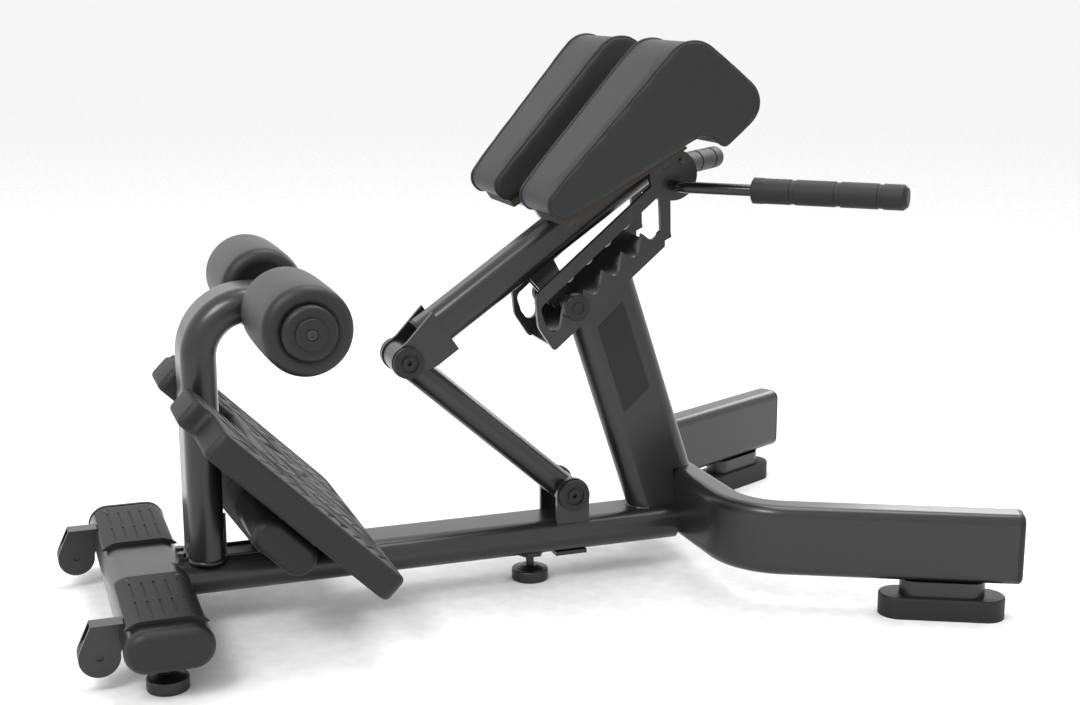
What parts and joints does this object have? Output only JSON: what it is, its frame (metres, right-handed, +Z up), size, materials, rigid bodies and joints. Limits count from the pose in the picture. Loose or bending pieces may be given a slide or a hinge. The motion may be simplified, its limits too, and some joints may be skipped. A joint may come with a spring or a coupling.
{
  "type": "roman chair",
  "caption": "Floor-standing back-extension bench with angled hip pads, foam ankle rollers, tilted footplate and a notched height rack.",
  "frame": {"origin": "floor level at the centre of the footprint's bounding box", "axes": "+X from the footplate end to the rear legs, +Y to the left of a user facing +X, +Z up"},
  "size_m": [1.309, 0.8232, 0.8226],
  "materials": {
    "painted_frame": "satin powder coat, dark grey",
    "black_plastic": "fine grained moulded plastic",
    "black_rubber": "ribbed matt rubber",
    "wheel_rubber": "smooth matt rubber",
    "pad_cover": "grained upholstery vinyl",
    "roller_foam": "soft foam with a grained skin",
    "board_wood": "plywood",
    "bare_steel": "zinc plated",
    "bush_bronze": "plain bearing",
    "panel_film": "plain label film"
  },
  "bodies": {
    "frame": {"base_rail": "painted_frame", "front_crossbeam": "painted_frame", "crossbeam_caps": "black_plastic", "rail_joint": "painted_frame", "step_covers": "black_rubber", "step_cover_screws": "bare_steel", "wheel_brackets": "painted_frame", "wheel_axles": "bare_steel", "foot_nuts": "bare_steel", "roller_post": "painted_frame", "roller_post_cap": "black_plastic", "roller_axle": "bare_steel", "roller_collars": "painted_frame", "roller_end_caps": "black_plastic", "roller_end_bolts": "bare_steel", "footplate_board": "black_plastic", "footplate_mat": "black_rubber", "footplate_beam": "painted_frame", "footplate_beam_caps": "black_plastic", "footplate_ribs": "painted_frame", "gussets": "painted_frame", "upright_column": "painted_frame", "badge_panels": "panel_film", "rack_plates": "painted_frame", "rack_channel": "painted_frame", "handle_bars": "painted_frame", "handle_grips": "black_rubber", "rear_leg_left": "painted_frame", "rear_leg_right": "painted_frame", "leg_caps": "black_plastic", "foot_risers": "painted_frame", "rubber_feet": "black_rubber", "pivot_cheeks": "painted_frame", "pivot_caps": "black_plastic", "pivot_axle": "bare_steel", "rail_clamp_plate": "painted_frame"},
    "link": {"link_tube": "painted_frame", "link_hubs": "painted_frame", "link_bushes": "bush_bronze"},
    "pad_arm": {"arm_tube": "painted_frame", "arm_plugs": "black_plastic", "elbow_plates": "painted_frame", "elbow_caps": "black_plastic", "elbow_axle": "bare_steel", "pin_hangers": "painted_frame", "rack_pin": "bare_steel", "rack_pin_caps": "black_plastic", "pad_supports": "painted_frame", "pad_boards": "board_wood", "hip_pad_left": "pad_cover", "hip_pad_right": "pad_cover"},
    "roller_left": {"foam_roller_left": "roller_foam", "roller_sleeve_left": "black_plastic"},
    "roller_right": {"foam_roller_right": "roller_foam", "roller_sleeve_right": "black_plastic"},
    "wheel_left": {"transport_wheel_left": "wheel_rubber"},
    "wheel_right": {"transport_wheel_right": "wheel_rubber"},
    "foot_front_left": {"levelling_foot_front_left": "bare_steel"},
    "foot_front_right": {"levelling_foot_front_right": "bare_steel"},
    "foot_middle": {"levelling_foot_middle": "bare_steel"}
  },
  "joints": [
    {"name": "elbow_hinge", "type": "hinge", "parent": "link", "child": "pad_arm", "pos_m": [-0.167, 0, 0.364], "axis": [0, -1, 0], "range_deg": [0, 7.6]},
    {"name": "link_hinge", "type": "hinge", "parent": "frame", "child": "link", "pos_m": [0.086, 0, 0.14], "axis": [0, 1, 0], "range_deg": [0, 2.81]},
    {"name": "roller_spin_left", "type": "hinge", "parent": "frame", "child": "roller_left", "pos_m": [-0.352, 0.16, 0.463], "axis": [0, 1, 0], "continuous": true},
    {"name": "roller_spin_right", "type": "hinge", "parent": "frame", "child": "roller_right", "pos_m": [-0.352, -0.16, 0.463], "axis": [0, 1, 0], "continuous": true},
    {"name": "wheel_spin_left", "type": "hinge", "parent": "frame", "child": "wheel_left", "pos_m": [-0.631, 0.1995, 0.049], "axis": [0, 1, 0], "continuous": true},
    {"name": "wheel_spin_right", "type": "hinge", "parent": "frame", "child": "wheel_right", "pos_m": [-0.631, -0.1995, 0.049], "axis": [0, 1, 0], "continuous": true},
    {"name": "foot_turn_front_left", "type": "hinge", "parent": "frame", "child": "foot_front_left", "pos_m": [-0.548, 0.225, 0.03], "axis": [0, 0, 1], "continuous": true},
    {"name": "foot_turn_front_right", "type": "hinge", "parent": "frame", "child": "foot_front_right", "pos_m": [-0.548, -0.225, 0.03], "axis": [0, 0, 1], "continuous": true},
    {"name": "foot_turn_middle", "type": "hinge", "parent": "frame", "child": "foot_middle", "pos_m": [0.03, 0, 0.03], "axis": [0, 0, 1], "continuous": true}
  ],
  "couplings": [
    {"joint": "link_hinge", "follows": "elbow_hinge", "ratio": 0.37}
  ]
}
